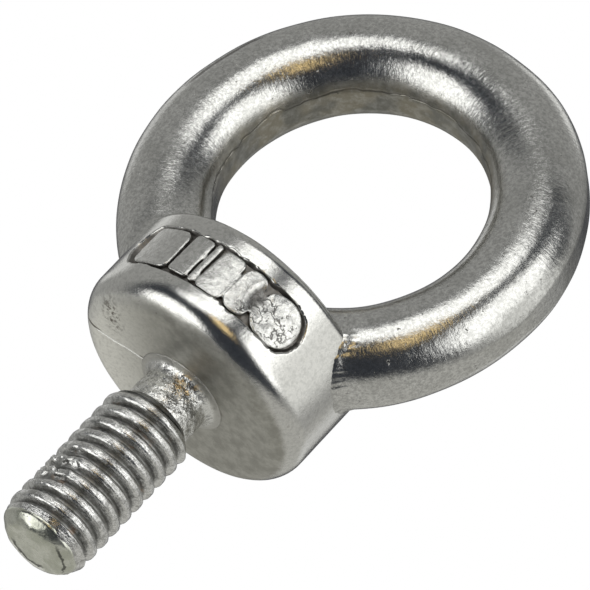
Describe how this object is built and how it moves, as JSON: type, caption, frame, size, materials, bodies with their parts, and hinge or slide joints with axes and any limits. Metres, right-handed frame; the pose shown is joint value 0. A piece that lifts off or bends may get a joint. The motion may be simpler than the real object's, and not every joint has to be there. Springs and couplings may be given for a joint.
{
  "type": "collared eye bolt",
  "caption": "Polished stainless eye bolt: a round lifting ring on a thick collar, with a plain neck, a coarse threaded shank and a tapered point.",
  "frame": {"origin": "centre of the seat face under the collar, on the shank's axis", "axes": "+Z along the shank's axis from the seat up through the eye; the eye opens along Y; the marked side of the collar faces -Y; +X across the ring"},
  "size_m": [0.038, 0.0214, 0.0596],
  "materials": {
    "polished_steel": "stainless steel casting, hand polished, with fine scratches and small pits",
    "cast_steel": "stainless steel as cast, rough, with dark grime in the low places",
    "thread_steel": "stainless steel thread, dull in the roots and bright on the worn crests"
  },
  "bodies": {
    "root": {"lifting_ring": "polished_steel", "collar": "polished_steel", "raised_marks": "cast_steel", "neck": "cast_steel", "threaded_shank": "thread_steel", "shank_tip": "thread_steel"}
  },
  "joints": []
}
